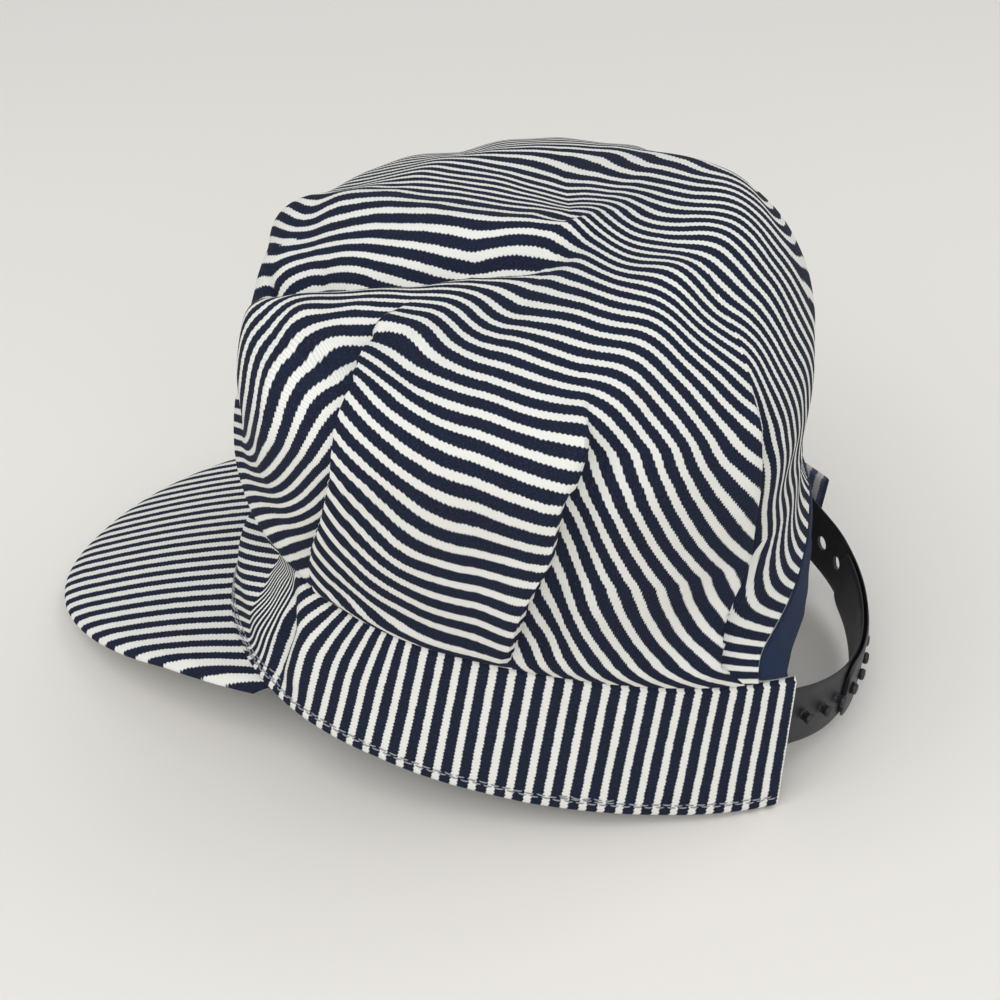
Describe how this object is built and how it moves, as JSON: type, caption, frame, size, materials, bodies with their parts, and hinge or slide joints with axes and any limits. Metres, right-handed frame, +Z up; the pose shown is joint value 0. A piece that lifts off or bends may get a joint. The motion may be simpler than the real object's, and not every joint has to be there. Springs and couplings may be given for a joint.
{
  "type": "engineer cap",
  "caption": "Puffy pleated cloth cap with a tall band, a stiff arched peak and a bound rear arch closed by an adjustable snap strap.",
  "frame": {"origin": "under the middle of the whole cap, on the surface that it rests on", "axes": "+Z up, the peak points to -Y, the wearer's left side is +X"},
  "size_m": [0.1874, 0.2622, 0.1578],
  "materials": {
    "striped_denim": "indigo denim with off-white woven stripes, matt",
    "blue_twill": "dark blue twill tape, matt",
    "strap_plastic": "dark moulded plastic, satin"
  },
  "bodies": {
    "root": {"crown": "striped_denim", "band": "striped_denim", "peak": "striped_denim", "arch_binding": "blue_twill", "strap_pegs": "strap_plastic", "strap_holes": "strap_plastic"}
  },
  "joints": []
}
